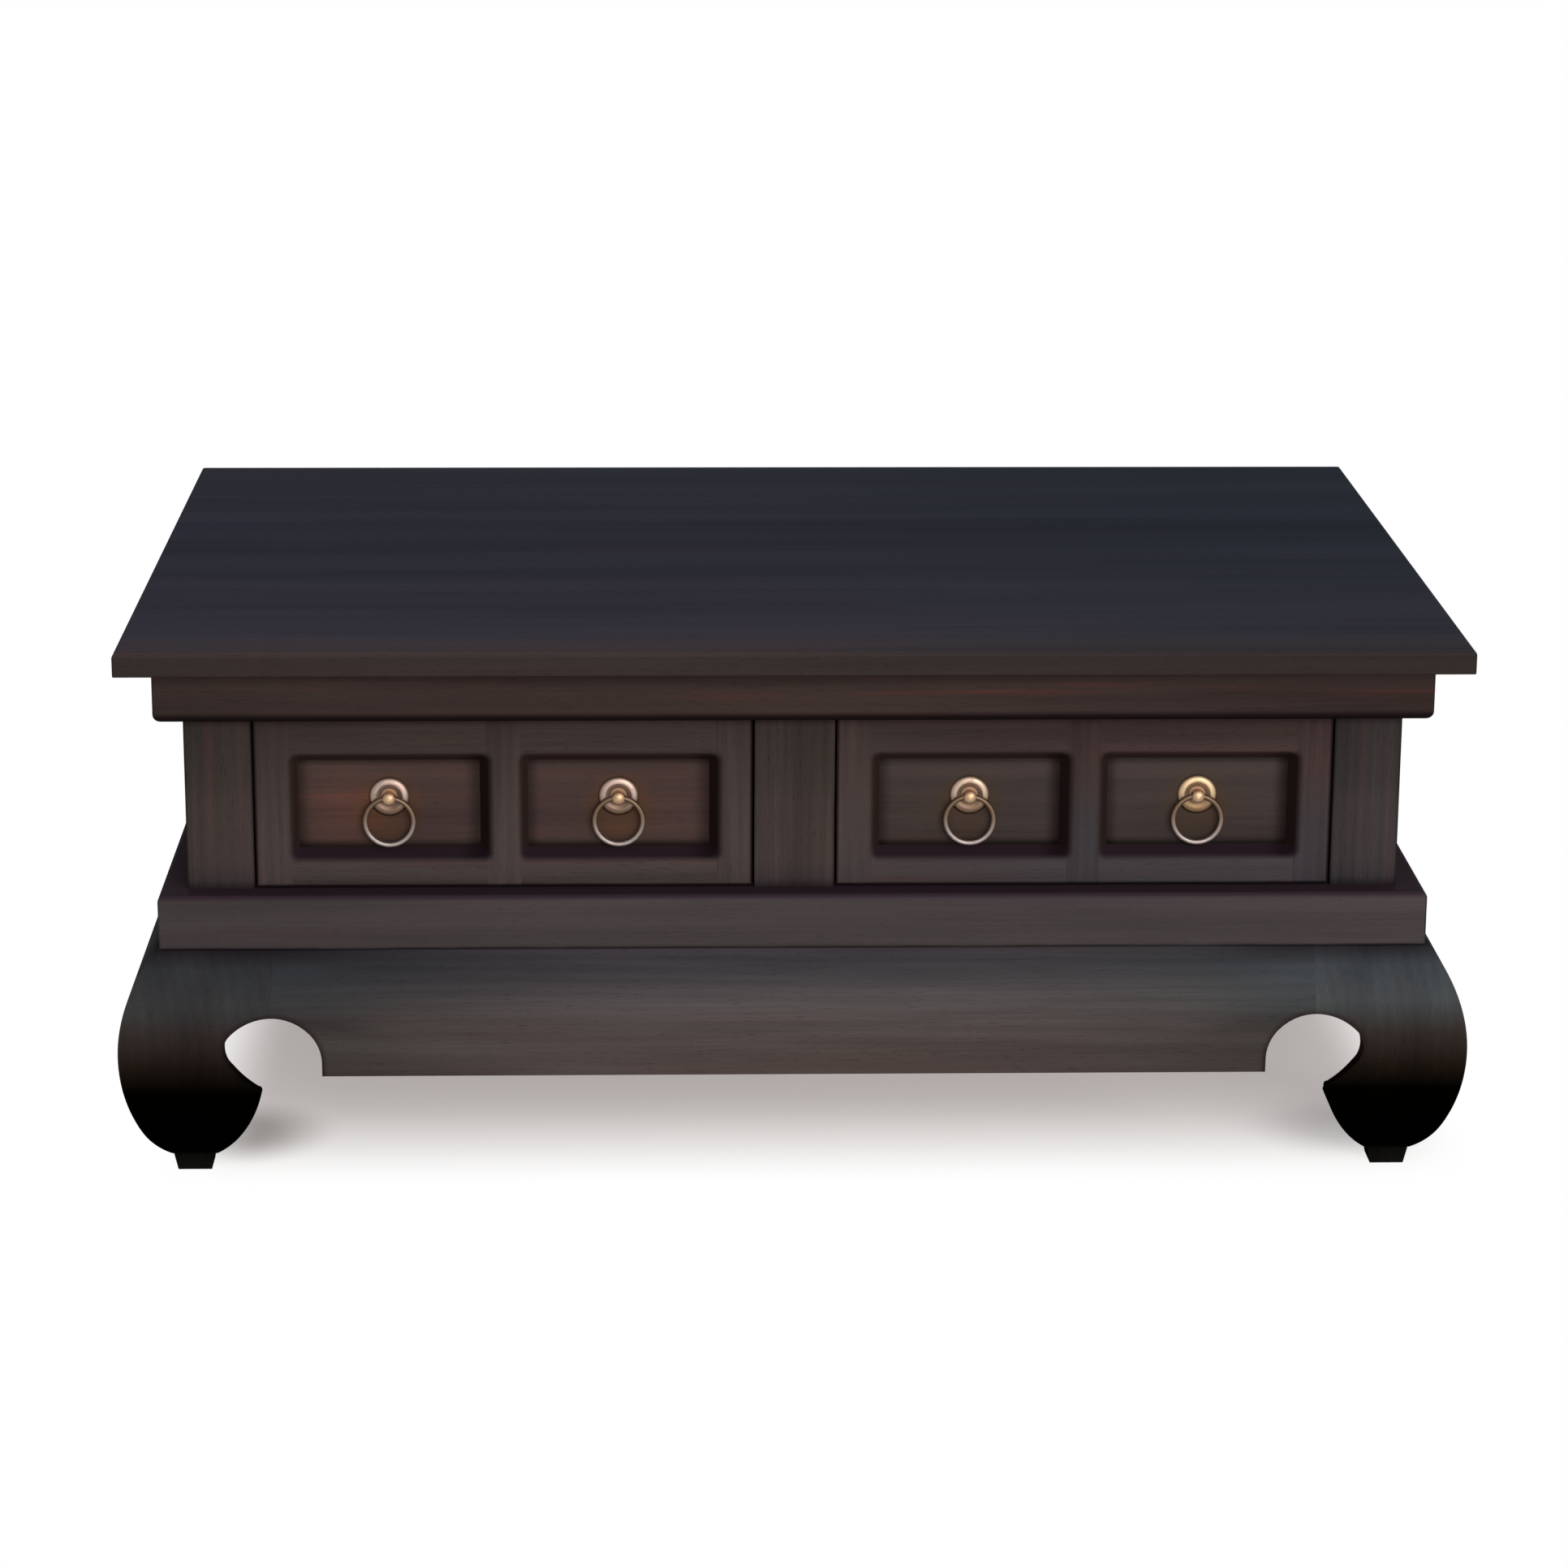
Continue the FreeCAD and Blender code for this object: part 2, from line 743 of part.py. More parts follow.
def window(middle):
    """The opening in a drawer front, with slightly rounded corners."""
    width = window_width - 2 * window_bevel
    height = window_height - 2 * window_bevel
    y = (front_face - overrun, front_back + overrun)
    opening = block(around(middle, width), y, around(window_level, height))
    across = [edge for edge in opening.Edges if edge.BoundBox.YLength > overrun]
    return opening.makeFillet(window_corner_radius, across)


def drawer_front():
    """A frame with two bevelled windows, rebated behind for its panels and socketed for the sides."""
    x = around(0, 2 * front_half)
    board = block(x, (front_face, front_back), (front_low, front_high))
    for middle in (-window_middle, window_middle):
        board = board.cut(window(middle))
    rims = [edge for edge in board.Edges if is_window_rim(edge)]
    board = board.makeChamfer(window_bevel, rims)
    cuts = [drawer_bottom(joint_fit)]
    for middle in (-window_middle, window_middle):
        panel = drawer_panel(middle, joint_fit)
        rebate = panel.BoundBox
        y = (panel_face, front_back + overrun)
        cuts.append(block((rebate.XMin, rebate.XMax), y, (rebate.ZMin, rebate.ZMax)))
    for side in (-1, 1):
        cuts += front_dovetails(side, joint_fit)
    return board.cut(cuts)


def is_window_rim(edge):
    """True for an edge of a window in the front face of the board, not for the board's own edges."""
    box = edge.BoundBox
    if box.YMax > front_face + overrun:
        return False
    inside_x = max(abs(box.XMin), abs(box.XMax)) < front_half - outer_stile / 2
    return inside_x and box.ZMin > front_low + bottom_rail / 2 and box.ZMax < front_high - top_rail / 2


def drawer_side(side):
    x = span(side, side_inner, front_half)
    board = block(x, (front_back, back_face), (side_low, side_high))
    tail_end = block(x, (back_face, drawer_end), (side_low, bottom_high))
    board = joined(board, tail_end, *front_dovetails(side), *back_dovetails(side))
    return board.cut(drawer_bottom(joint_fit))


def drawer_back():
    """The back stands on the bottom, with pins between the tails of the sides."""
    x = around(0, 2 * front_half)
    board = block(x, (back_face, drawer_end), (bottom_high, side_high))
    sockets = back_dovetails(-1, joint_fit) + back_dovetails(1, joint_fit)
    return board.cut(sockets)


def pull_part(half_profile, middle):
    """A turned part of a pull, drawn as radius and height, set on the face of a drawer panel."""
    turned = half_profile.revolve(origin, y_axis, 360).rotated(origin, x_axis, 180)
    return turned.translated(V(middle, panel_face, pull_level))


def rosette(middle):
    """A domed plate with a dished middle."""
    hole = shank_radius + joint_fit
    hill = (rosette_radius + rosette_crest_radius) / 2
    hill_height = rosette_rim + (rosette_crest - rosette_rim) * cos(radians(30))
    rim_low = V(rosette_radius, 0, 0)
    rim_high = V(rosette_radius, rosette_rim, 0)
    crest = V(rosette_crest_radius, rosette_crest, 0)
    dish = V(rosette_dish_radius, rosette_dish, 0)
    edges = [
        line(V(hole, 0, 0), rim_low),
        line(rim_low, rim_high),
        Part.Arc(rim_high, V(hill, hill_height, 0), crest).toShape(),
        line(crest, dish),
        line(dish, V(hole, rosette_dish, 0)),
        line(V(hole, rosette_dish, 0), V(hole, 0, 0)),
    ]
    return pull_part(face(edges), middle)


def shank_length():
    return drawer_panel_thickness + nut_height + shank_end


def ring_post(middle):
    """The boss that holds the ring, on a shank through the rosette and the panel."""
    tail = V(0, -shank_length(), 0)
    shoulder = V(boss_radius, boss_height - boss_dome, 0)
    crown = V(0, boss_height, 0)
    chord = shoulder.distanceToPoint(crown)
    dome_radius = chord**2 / (2 * boss_dome)
    edges = [
        line(tail, V(shank_radius, -shank_length(), 0)),
        line(V(shank_radius, -shank_length(), 0), V(shank_radius, rosette_dish, 0)),
        line(V(shank_radius, rosette_dish, 0), V(boss_radius, rosette_dish, 0)),
        line(V(boss_radius, rosette_dish, 0), shoulder),
        bowed(shoulder, crown, dome_radius - sqrt(dome_radius**2 - chord**2 / 4)),
        line(crown, tail),
    ]
    whole = pull_part(face(edges), middle)
    start = V(middle - boss_radius - overrun, panel_face - ring_height, pull_level)
    hole = Part.makeCylinder(ring_hole_radius, 2 * (boss_radius + overrun), start, x_axis)
    return whole.cut(hole)


def post_nut(middle):
    """A six-sided nut on the shank, behind the panel."""
    corner = V(nut_width / 2 / cos(radians(30)), 0, 0)
    place = V(middle, panel_back, pull_level)
    points = [place + FreeCAD.Rotation(y_axis, 60 * index).multVec(corner) for index in range(6)]
    body = Part.Face(Part.makePolygon(points + points[:1])).extrude(V(0, nut_height, 0))
    start = V(middle, panel_back - overrun, pull_level)
    return body.cut(Part.makeCylinder(shank_radius + joint_fit, nut_height + 2 * overrun, start, y_axis))


def shank_hole(middle):
    start = V(middle, panel_face - overrun, pull_level)
    length = drawer_panel_thickness + 2 * overrun
    return Part.makeCylinder(shank_radius + joint_fit, length, start, y_axis)


def ring(middle):
    """A drop ring that hangs through the hole in its boss."""
    centre = V(middle, panel_face - ring_height, pull_level - ring_radius)
    return Part.makeTorus(ring_radius, ring_wire / 2, centre, y_axis)


def drawer_parts():
    """The pieces of one drawer, by name, about its own middle line."""
    pulls = (-window_middle, window_middle)
    return {
        "front": [drawer_front()],
        "panels": [drawer_panel(middle).cut(shank_hole(middle)) for middle in pulls],
        "side_left": [drawer_side(-1)],
        "side_right": [drawer_side(1)],
        "back": [drawer_back()],
        "bottom": [drawer_bottom()],
        "rosettes": [rosette(middle) for middle in pulls],
        "ring_posts": [ring_post(middle) for middle in pulls],
        "post_nuts": [post_nut(middle) for middle in pulls],
    }


def build_top():
    save("top_panel", top_panel())
    save("centre_batten", centre_batten())
    save("top_battens", *top_battens())
    save("top_screws", *top_screws())
    for name in sides:
        save(f"cornice_{name}", cornice_rail(name))


def build_storey():
    for name, (sx, sy) in corners.items():
        save(f"post_{name}", post(sx, sy))
    save("front_muntin", muntin(-1))
    save("back_muntin", muntin(1))
    save("side_panel_left", side_panel(-1))
    save("side_panel_right", side_panel(1))
    save("back_panels", back_panel(-1), back_panel(1))
    save("centre_partition", centre_partition())
    save("centre_guide", centre_guide())
    save("side_guides", side_guide(-1), side_guide(1))
    save("drawer_stops", *drawer_stops())


def build_stand():
    one_leg = leg()
    one_pad = foot_pad()
    for name in sides:
        save(f"waist_{name}", waist_rail(name))
        save(f"apron_{name}", apron(name))
    for name, (sx, sy) in corners.items():
        save(f"leg_{name}", at_corner(one_leg, sx, sy))
    save("foot_pads", *[at_corner(one_pad, sx, sy) for sx, sy in corners.values()])
    save("waist_cross_rail", waist_cross_rail())
    save("dust_boards", dust_board(-1), dust_board(1))
    save("glue_blocks", *glue_blocks())


def build_drawers():
    parts = drawer_parts()
    for name, side in (("left", -1), ("right", 1)):
        place = V(side * drawer_middle, 0, 0)
        for piece, shapes in parts.items():
            save(f"drawer_{name}_{piece}", *[shape.translated(place) for shape in shapes])
        for where, middle in (("outer", side * window_middle), ("inner", -side * window_middle)):
            save(f"ring_{name}_{where}", ring(middle).translated(place))


os.makedirs("parts", exist_ok=True)
build_top()
build_storey()
build_stand()
build_drawers()
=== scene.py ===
import math

import bpy
from mathutils import Euler, Matrix, Vector


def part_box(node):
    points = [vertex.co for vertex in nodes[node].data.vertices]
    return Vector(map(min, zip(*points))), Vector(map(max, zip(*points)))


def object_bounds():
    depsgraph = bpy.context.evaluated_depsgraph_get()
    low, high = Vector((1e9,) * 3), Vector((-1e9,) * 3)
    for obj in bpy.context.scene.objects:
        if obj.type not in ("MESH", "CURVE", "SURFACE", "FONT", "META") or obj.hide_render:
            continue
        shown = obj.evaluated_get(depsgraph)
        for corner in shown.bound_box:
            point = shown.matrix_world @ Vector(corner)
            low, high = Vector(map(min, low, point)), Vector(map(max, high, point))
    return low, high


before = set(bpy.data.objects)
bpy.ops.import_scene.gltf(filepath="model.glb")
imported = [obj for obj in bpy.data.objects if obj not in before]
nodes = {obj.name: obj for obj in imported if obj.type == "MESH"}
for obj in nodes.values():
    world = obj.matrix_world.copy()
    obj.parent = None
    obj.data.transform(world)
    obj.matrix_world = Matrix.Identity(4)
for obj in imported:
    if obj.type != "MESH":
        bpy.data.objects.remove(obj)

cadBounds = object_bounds()
mm = 0.001
plainWhite = (1, 1, 1, 1)
plainBlack = (0, 0, 0, 1)
print("frame loaded,", len(nodes), "pieces")


# A colour as a paint card gives it, 0 to 255 a channel, in the renderer's own values
def tone(red, green, blue):
    shares = [channel / 255 for channel in (red, green, blue)]
    return [s / 12.92 if s < 0.04045 else ((s + 0.055) / 1.055) ** 2.4 for s in shares] + [1.0]


# One output of a shader node. Sums on it add Math nodes, Vector Math for a vector, Mix for a colour
class Wire:
    def __init__(self, shader, socket):
        self.shader = shader
        self.socket = socket

    def sum(self, operation, first, second):
        pair = (first, second)
        kinds = [side.socket.type for side in pair if isinstance(side, Wire)]
        if "RGBA" in kinds:
            sides = [(side, side, side, 1) if isinstance(side, (int, float)) else side for side in pair]
            settings = {"data_type": "RGBA", "blend_type": operation}
            return self.shader.node("Mix", settings, {0: 1.0, 6: sides[0], 7: sides[1]}, 2)
        if "VECTOR" in kinds:
            sides = [side if isinstance(side, (Wire, tuple)) else (side, side, side) for side in pair]
            return self.shader.node("VectorMath", {"operation": operation}, {0: sides[0], 1: sides[1]})
        return self.shader.node("Math", {"operation": operation}, {0: first, 1: second})

    def __add__(self, other):
        return self.sum("ADD", self, other)

    def __radd__(self, other):
        return self.sum("ADD", other, self)

    def __sub__(self, other):
        return self.sum("SUBTRACT", self, other)

    def __rsub__(self, other):
        return self.sum("SUBTRACT", other, self)

    def __mul__(self, other):
        return self.sum("MULTIPLY", self, other)

    def __rmul__(self, other):
        return self.sum("MULTIPLY", other, self)

    def __truediv__(self, other):
        return self.sum("DIVIDE", self, other)


# The nodes of one material, or of the world
class Shader:
    def __init__(self, owner):
        owner.use_nodes = True
        self.owner = owner
        self.tree = owner.node_tree
        self.tree.nodes.clear()

    # Any node: its type, its settings, its sockets, and which output is wanted
    def node(self, kind, settings, sockets, result=0):
        made = self.tree.nodes.new("ShaderNode" + kind)
        for key, value in settings.items():
            if key == "stops":
                for element, (place, colour) in zip(self.elements(made, len(value)), value):
                    element.position = place
                    element.color = colour
            else:
                setattr(made, key, value)
        for key, value in sockets.items():
            if isinstance(value, Wire):
                self.tree.links.new(value.socket, made.inputs[key])
            else:
                made.inputs[key].default_value = value
        return Wire(self, made.outputs[result]) if made.outputs else None

    def elements(self, ramp, count):
        while len(ramp.color_ramp.elements) < count:
            ramp.color_ramp.elements.new(1.0)
        return ramp.color_ramp.elements

    def place(self):
        vector = self.node("TexCoord", {}, {}, "Object")
        parts = self.node("SeparateXYZ", {}, {0: vector})
        return [Wire(self, output) for output in parts.socket.node.outputs]

    def join(self, x, y, z):
        return self.node("CombineXYZ", {}, {0: x, 1: y, 2: z})

    def noise(self, vector, detail=2.0, roughness=0.5):
        sockets = {"Vector": vector, "Scale": 1.0, "Detail": detail, "Roughness": roughness}
        return self.node("TexNoise", {}, sockets)

    # 0 at the first value, 1 at the second, a smooth step between
    def step(self, value, start, end):
        limits = {"Value": value, "From Min": start, "From Max": end}
        return self.node("MapRange", {"interpolation_type": "SMOOTHSTEP"}, limits)

    def math(self, operation, *values):
        return self.node("Math", {"operation": operation}, dict(enumerate(values)))

    def length(self, first, second):
        return self.math("SQRT", first * first + second * second)

    def ramp(self, value, stops):
        return self.node("ValToRGB", {"stops": stops}, {"Fac": value}, "Color")

    def blend(self, share, first, second):
        return self.node("Mix", {"data_type": "RGBA"}, {0: share, 6: first, 7: second}, 2)

    def finish(self, sockets):
        surface = self.node("BsdfPrincipled", {}, sockets)
        self.node("OutputMaterial", {}, {"Surface": surface})
        return self.owner


# Camera, where the photograph was taken from
viewpoint = {
    "lens": 102.58,
    "sensor": 36.0,
    "place": (-0.113148, -3.864756, 1.313394),
    "down": 0.2712,      # radians that it looks down
    "right": 0.0295,     # radians that it turns to the right
    "roll": 0.0048,
}


def placeCamera():
    data = bpy.data.cameras.new("viewpoint")
    data.lens = viewpoint["lens"]
    data.sensor_width = viewpoint["sensor"]
    camera = bpy.data.objects.new("viewpoint", data)
    turn = Euler((math.pi / 2 - viewpoint["down"], 0, -viewpoint["right"])).to_matrix()
    turn = turn @ Matrix.Rotation(viewpoint["roll"], 3, "Z")
    camera.matrix_world = Matrix.Translation(viewpoint["place"]) @ turn.to_4x4()
    bpy.context.scene.collection.objects.link(camera)
    bpy.context.scene.camera = camera


# Studio: two soft boxes, a pale room and a pale floor
studio = {
    "boxes": [
        {"name": "frontBox", "place": (1.3, -4.4, 1.7), "wide": 3.4, "tall": 2.0, "power": 165,
         "tint": (1.0, 0.985, 0.96)},
        {"name": "topBox", "place": (-0.3, 0.2, 3.4), "wide": 3.4, "tall": 3.4, "power": 36,
         "tint": (0.93, 0.96, 1.0)},
    ],
    "aim": (0, 0, 0.25),
    "roomGlow": 0.35,
    "roomTint": (0.96, 0.98, 1.0, 1.0),
    "floorSpan": 40.0,
    "floorTone": tone(246, 240, 237),
    "floorLift": 0.37,      # share of plain light in the floor under the table
    # warm tint of the painted shadow under the table
    "shadowTint": (1.0, 0.94, 0.92, 1.0),
    "endShift": 20 * mm,                 # the fade lies further to the right
    "endFade": (-90 * mm, 5 * mm),       # from the table's ends, where the floor turns plain white
    "frontFade": (-280 * mm, 10 * mm),   # and from its front and back
    "footPlace": (470 * mm, 250 * mm),   # painted shadow: by each foot the floor is darker, and more so on the left
    "footShade": (15 * mm, 90 * mm),
    "footShadowDepth": (0.9, 0.3),
}


def placeBox(box):
    data = bpy.data.lights.new(box["name"], "AREA")
    data.shape = "RECTANGLE"
    data.size = box["wide"]
    data.size_y = box["tall"]
    data.energy = box["power"]
    data.color = box["tint"]
    light = bpy.data.objects.new(box["name"], data)
    light.location = box["place"]
    light.rotation_euler = (Vector(studio["aim"]) - light.location).to_track_quat("-Z", "Y").to_euler()
    bpy.context.scene.collection.objects.link(light)


# 1 for what the camera sees, straight or in a mirror or glass
def seenRay(shader):
    seen = shader.node("LightPath", {}, {}, "Is Camera Ray")
    outputs = seen.socket.node.outputs
    mirrored, through = [Wire(shader, outputs[name]) for name in ("Is Glossy Ray", "Is Transmission Ray")]
    return shader.math("MAXIMUM", seen, shader.math("MAXIMUM", mirrored, through))


def lightRoom():
    world = bpy.data.worlds.new("paleRoom")
    bpy.context.scene.world = world
    room = Shader(world)
    glow = room.node("Background", {}, {"Color": studio["roomTint"], "Strength": studio["roomGlow"]})
    white = room.node("Background", {}, {"Color": plainWhite, "Strength": 1.0})
    mixed = room.node("MixShader", {}, {0: seenRay(room), 1: glow, 2: white})
    room.node("OutputWorld", {}, {"Surface": mixed})


def layFloor():
    half = studio["floorSpan"] / 2
    mesh = bpy.data.meshes.new("studioFloor")
    corners = [(-half, -half, 0), (half, -half, 0), (half, half, 0), (-half, half, 0)]
    mesh.from_pydata(corners, [], [(0, 1, 2, 3)])
    floor = bpy.data.objects.new("studioFloor", mesh)
    bpy.context.scene.collection.objects.link(floor)
    paint = Shader(bpy.data.materials.new("paleFloor"))
    x, y = paint.place()[:2]
    across, deep = paint.math("ABSOLUTE", x), paint.math("ABSOLUTE", y)
    fromEnd = paint.math("ABSOLUTE", x - studio["endShift"]) - cadBounds[1][0]
    aside = paint.step(fromEnd, *studio["endFade"])
    beyond = paint.step(deep - cadBounds[1][1], *studio["frontFade"])
    fromFoot = paint.length(across - studio["footPlace"][0], deep - studio["footPlace"][1])
    leftDark, rightDark = studio["footShadowDepth"]
    dark = leftDark + (rightDark - leftDark) * paint.math("GREATER_THAN", x, 0.0)
    shaded = 1 - dark * (1 - paint.step(fromFoot, *studio["footShade"]))
    lift = studio["floorLift"]
    under = (lift + (1 - lift) * beyond * beyond) * shaded
    fade = 1 - (1 - aside) * (1 - beyond)
    share = seenRay(paint) * (1 - (1 - aside) * (1 - under))
    lit = paint.node("BsdfDiffuse", {}, {"Color": studio["floorTone"]})
    plain = paint.blend(fade, studio["shadowTint"], plainWhite)
    white = paint.node("Emission", {}, {"Color": plain, "Strength": 1.0})
    paint.node("OutputMaterial", {}, {"Surface": paint.node("MixShader", {}, {0: share, 1: lit, 2: white})})
    mesh.materials.append(paint.owner)


placeCamera()
for box in studio["boxes"]:
    placeBox(box)
lightRoom()
layFloor()
bpy.context.scene.view_settings.view_transform = "Standard"
print("camera, lights and floor placed")


# Levels and places that several finishes share, read off the pieces themselves
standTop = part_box("waist_front")[0].z
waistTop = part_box("waist_front")[1].z
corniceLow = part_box("cornice_front")[0].z
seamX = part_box("leg_front_right")[0].x      # where the aprons meet the legs
seamY = -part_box("leg_front_right")[1].y
frontLow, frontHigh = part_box("drawer_right_front")
frontMiddle = (frontLow + frontHigh) / 2
frontHalf = (frontHigh - frontLow) / 2
panelLow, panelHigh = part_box("drawer_right_panels")
pullMiddle = (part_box("ring_right_outer")[0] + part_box("ring_right_outer")[1]) / 2
plateLow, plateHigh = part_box("drawer_right_rosettes")
postLow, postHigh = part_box("drawer_right_ring_posts")
pullLevel = (postLow.z + postHigh.z) / 2


# Stained and lacquered hardwood. Scales are in cycles a metre, along the grain and across it
darkFinish = {
    "dark": tone(42, 35, 33),
    "middle": tone(60, 52, 50),
    "light": tone(76, 65, 60),
    "toneStops": (0.15, 0.5, 0.85),     # where on the grain the dark, middle and light tones lie
    "streak": tone(88, 50, 42),
    "streaks": (2.2, 75),
    "streakSteps": (0.54, 0.72),
    "streakShare": 0.25,
    "figure": (1.3, 16),
    "figureShare": 1.1,
    "rings": 95,
    "ringShare": 0.07,
    "ringLean": 0.45,
    "ringDrift": 0.045,
    "ringFigure": 0.012,
    "drift": (0.9, 4.5),
    "fibre": (9, 420),
    "fibreShare": 0.35,
    "pores": (95, 1500),
    "poreSteps": (0.62, 0.74),
    "poreTone": tone(20, 15, 14),
    "poreShare": 0.35,
    "arris": tone(28, 20, 20),     # darker along the arrises
    "arrisWidth": 2.2 * mm,
    "arrisBreaks": (14, 60),       # and broken here and there
    "arrisSteps": (0.2, 0.6),
    "arrisShare": 0.75,
    "arrisPolish": 0.08,
    # painted shade, laid under the cornice and round the drawer fronts
    "glaze": tone(20, 13, 14),
    "roughness": 0.5,
    "roughnessSpread": 0.16,
    "coat": 0.03,
    "coatRoughness": 0.32,
    "relief": 0.05 * mm,
    "reliefStrength": 0.8,
    "reliefShares": (0.6, 0.25, 0.8),     # of the fibre, the figure and the pores
}

seedShift = (3.1, 1.7, 2.3)      # metres between the wood of one piece and the next
otherWaySeed = 0.37              # between the stiles and the rails of one piece

grainAcross = {"top_battens": 1, "side_guides": 1, "foot_pads": 2, "glue_blocks": 2}


# The way the grain runs: along the piece, or as listed for groups of short pieces
def grainWay(name):
    if name in grainAcross:
        return grainAcross[name]
    low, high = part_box(name)
    spans = [high[way] - low[way] for way in range(3)]
    return spans.index(max(spans))


# 1 on the arrises of the node's box and 0 further in than the width
def arris(shader, place, name, width):
    low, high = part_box(name)
    depths = []
    for way in range(3):
        over = shader.math("ABSOLUTE", place[way] - low[way])
        depths.append(shader.math("MINIMUM", over, shader.math("ABSOLUTE", high[way] - place[way])))
    least = shader.math("MINIMUM", depths[0], depths[1])
    most = shader.math("MAXIMUM", depths[0], depths[1])
    second = shader.math("MAXIMUM", least, shader.math("MINIMUM", most, depths[2]))
    return 1 - shader.step(second, 0.0, width)


# The wood's coordinates: along the grain first, then the two ways across, shifted for each piece
def grainPlace(place, way, seed):
    ordered = [place[way], place[(way + 1) % 3], place[(way + 2) % 3]]
    return [value + shift * seed for value, shift in zip(ordered, seedShift)]


def paintWood(name, finish, seed, colourWork=None, ways=None):
    shader = Shader(bpy.data.materials.new("wood_" + name))
    place = shader.place()
    along, left, right = grainPlace(place, grainWay(name), seed)
    if ways is not None:
        mask, otherWay = ways(shader, place)
        other = grainPlace(place, otherWay, seed + otherWaySeed)
        pairs = zip((along, left, right), other)
        along, left, right = [first + mask * (second - first) for first, second in pairs]

    def layer(scales, detail=2.0, roughness=0.5):
        scaled = shader.join(along * scales[0], left * scales[1], right * scales[1])
        return shader.noise(scaled, detail, roughness)

    figure = layer(finish["figure"], 3.0)
    drift = layer(finish["drift"], 1.0)
    radius = left + finish["ringLean"] * right + finish["ringDrift"] * drift + finish["ringFigure"] * figure
    rings = shader.math("SINE", radius * (2 * math.pi * finish["rings"]))
    fibre = layer(finish["fibre"], 3.0, 0.65)
    pores = shader.step(layer(finish["pores"], 1.0), *finish["poreSteps"])
    streaks = shader.step(layer(finish["streaks"], 3.0, 0.6), *finish["streakSteps"])
    depth = 0.5 + finish["figureShare"] * (figure - 0.5) + finish["ringShare"] * rings * figure
    depth = depth + finish["fibreShare"] * (fibre - 0.5)
    tones = [finish["dark"], finish["middle"], finish["light"]]
    colour = shader.ramp(depth, list(zip(finish["toneStops"], tones)))
    colour = shader.blend(streaks * finish["streakShare"], colour, finish["streak"])
    colour = shader.blend(pores * finish["poreShare"], colour, finish["poreTone"])
    breaks = layer(finish["arrisBreaks"], 2.0)
    edge = arris(shader, place, name, finish["arrisWidth"]) * shader.step(breaks, *finish["arrisSteps"])
    colour = shader.blend(edge * finish["arrisShare"], colour, finish["arris"])
    if colourWork is not None:
        colour = colourWork(shader, place, colour, finish)
    roughness = finish["roughness"] + finish["roughnessSpread"] * (fibre - 0.5) - finish["arrisPolish"] * edge
    coat = finish["coat"]
    if "coatStart" in finish:
        coat = coat * shader.step(place[2], finish["coatStart"], finish["coatEnd"])
    fibreRelief, figureRelief, poreRelief = finish["reliefShares"]
    relief = {
        "Height": fibreRelief * fibre + figureRelief * figure - poreRelief * pores,
        "Distance": finish["relief"],
        "Strength": finish["reliefStrength"],
    }
    bump = shader.node("Bump", {}, relief)
    return shader.finish({
        "Base Color": colour,
        "Roughness": roughness,
        "Normal": bump,
        "Specular IOR Level": 0.0,
        "Coat Weight": coat,
        "Coat Roughness": finish["coatRoughness"],
    })


def dress(name, material):
    for slot in nodes[name].material_slots:
        slot.material = material


# Seeds count up through the pieces, so no two boards share a figure
seeds = {name: 1 + index for index, name in enumerate(sorted(nodes))}


# The slab: six boards, cool on the face with a painted reflection of cool light from above, and browner
# towards its front edge
topFinish = dict(darkFinish, **{
    "dark": tone(33, 34, 42),
    "middle": tone(41, 42, 50),
    "light": tone(49, 49, 57),
    "streak": tone(52, 42, 46),
    "streakShare": 0.3,
    "figure": (0.8, 13),
    "fibre": (5, 260),
    "arrisShare": 0.4,
    "boards": 6,
    "boardSpread": [(0.0, (0.92, 0.92, 0.94, 1)), (1.0, (1.07, 1.07, 1.06, 1))],
    "faceTones": [                 # painted reflection, from the front edge to the back edge
        (0.0, tone(49, 42, 42)),
        (0.08, tone(48, 45, 52)),
        (0.28, tone(42, 41, 49)),
        (0.65, tone(39, 40, 48)),
        (1.0, tone(37, 39, 46)),
    ],
    "edge": tone(45, 39, 38),
    "edgeReach": (0.5 * mm, 4 * mm),     # down from the face, where the edge's tone takes over
    "endTint": [                   # painted light and shade, from the left end of the table to the right
        (0.0, (1.12, 1.12, 1.2, 1)),
        (0.5, (1.12, 1.12, 1.18, 1)),
        (0.85, (0.9, 1.03, 1.08, 1)),
    ],
})


# 0 at the left end of the table and 1 at the right end
def fromLeft(place):
    return (place[0] - cadBounds[0][0]) / (cadBounds[1][0] - cadBounds[0][0])


def shadeBoards(shader, place, colour, finish):
    low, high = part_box("top_panel")
    across = (place[1] - low.y) / (high.y - low.y)
    number = shader.math("FLOOR", across * finish["boards"])
    chance = shader.node("TexWhiteNoise", {"noise_dimensions": "1D"}, {"W": number + 0.5}, "Value")
    grain = colour / finish["middle"]
    face = grain * shader.ramp(across, finish["faceTones"]) * shader.ramp(chance, finish["boardSpread"])
    face = face * shader.ramp(fromLeft(place), finish["endTint"])
    share = shader.step(high.z - place[2], *finish["edgeReach"])
    return shader.blend(share, face, grain * finish["edge"])


corniceFinish = dict(darkFinish, **{
    "dark": tone(38, 29, 27),
    "middle": tone(52, 42, 40),
    "light": tone(64, 50, 45),
    "streak": tone(88, 44, 38),
    "streakShare": 0.45,
    "underStart": 4 * mm,          # up from the lower edge, where its painted shade begins to thin
    "underEnd": 10 * mm,
    "underShare": 0.95,
})


# Painted shade on the cornice's lower edge, which faces down
def shadeCorniceFoot(shader, place, colour, finish):
    share = 1 - shader.step(place[2], corniceLow + finish["underStart"], corniceLow + finish["underEnd"])
    return shader.blend(share * finish["underShare"], colour, finish["glaze"])


